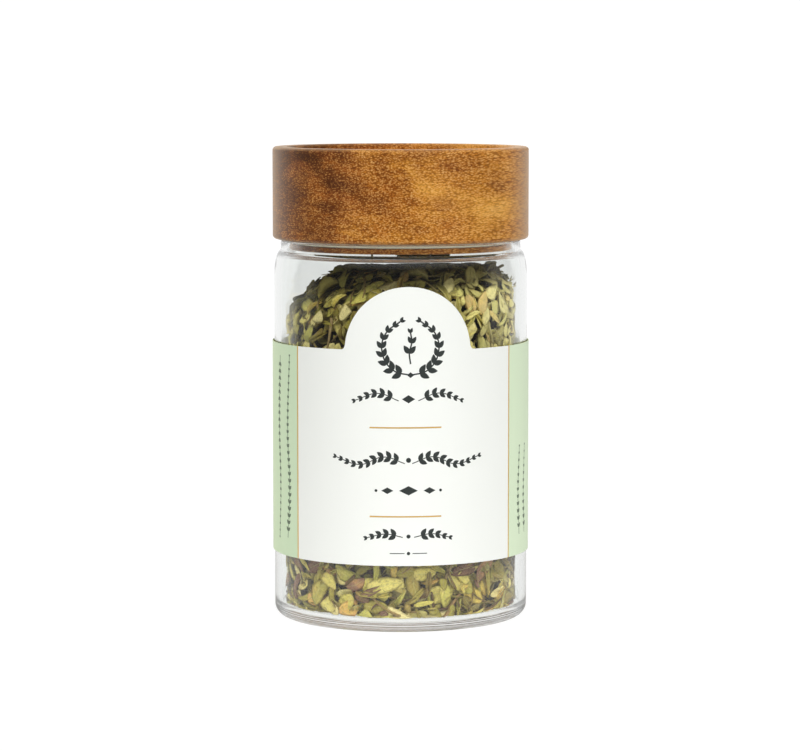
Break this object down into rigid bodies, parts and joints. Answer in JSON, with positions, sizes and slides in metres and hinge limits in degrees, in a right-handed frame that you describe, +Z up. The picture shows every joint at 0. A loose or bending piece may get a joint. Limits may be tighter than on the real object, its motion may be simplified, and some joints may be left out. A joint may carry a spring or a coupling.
{
  "type": "spice jar of dried thyme",
  "caption": "Glass spice jar filled with dried lemon-thyme leaves, with a turned acacia lid, silicone seal and wrap-round paper label with an arched tab.",
  "frame": {"origin": "centre of the circle that the jar stands on", "axes": "+Z up along the jar's axis, -Y towards the middle of the label"},
  "size_m": [0.065, 0.065, 0.1187],
  "materials": {
    "clear_glass": "clear",
    "acacia": "oiled",
    "clear_silicone": "satin",
    "label_paper": "matte",
    "dried_leaf": "matte"
  },
  "bodies": {
    "root": {"glass_jar": "clear_glass", "lid": "acacia", "lid_gasket": "clear_silicone", "label": "label_paper", "dried_thyme": "dried_leaf"}
  },
  "joints": []
}
